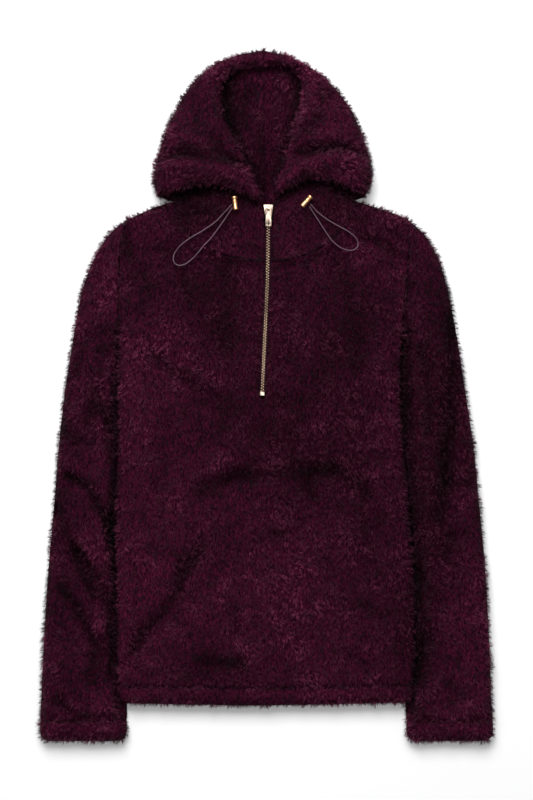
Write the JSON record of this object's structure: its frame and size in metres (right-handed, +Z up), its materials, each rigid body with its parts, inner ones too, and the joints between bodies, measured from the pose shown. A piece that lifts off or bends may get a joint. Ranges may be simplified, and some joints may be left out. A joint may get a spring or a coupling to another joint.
{
  "type": "fleece hoodie",
  "caption": "Hooded half-zip pullover in thick long-pile fleece, laid flat on its back with its sleeves beside the body, a metal zip and two elastic drawcord loops.",
  "frame": {"origin": "on the surface that the hoodie lies on, under the middle of its outline", "axes": "+X to the right seen from above (the wearer's left), +Y towards the hood, +Z up out of the front"},
  "size_m": [0.64, 0.972, 0.0499],
  "materials": {
    "fleece": "long soft pile, matt, deep plum",
    "zip_brass": "polished light gold",
    "toggle_copper": "polished copper",
    "zip_tape": "woven tape, matt",
    "cord_elastic": "braided cover on elastic"
  },
  "bodies": {
    "garment": {"back_panel": "fleece", "front_panel": "fleece", "sleeve_left": "fleece", "sleeve_right": "fleece", "hood_back_left": "fleece", "hood_back_right": "fleece", "hood_left": "fleece", "hood_right": "fleece", "neck_left": "fleece", "neck_right": "fleece", "zip_tape": "zip_tape", "zip_chain": "zip_brass", "zip_stop": "zip_brass", "zip_slider": "zip_brass", "toggle_left": "toggle_copper", "toggle_right": "toggle_copper", "cord_left": "cord_elastic", "cord_right": "cord_elastic"},
    "pull_tab": {"zip_pull": "zip_brass"}
  },
  "joints": [
    {"name": "pull_tab_flip", "type": "hinge", "parent": "garment", "child": "pull_tab", "pos_m": [0.0027, 0.262, 0.0304], "axis": [-1, 0, 0], "range_deg": [0, 165]}
  ]
}
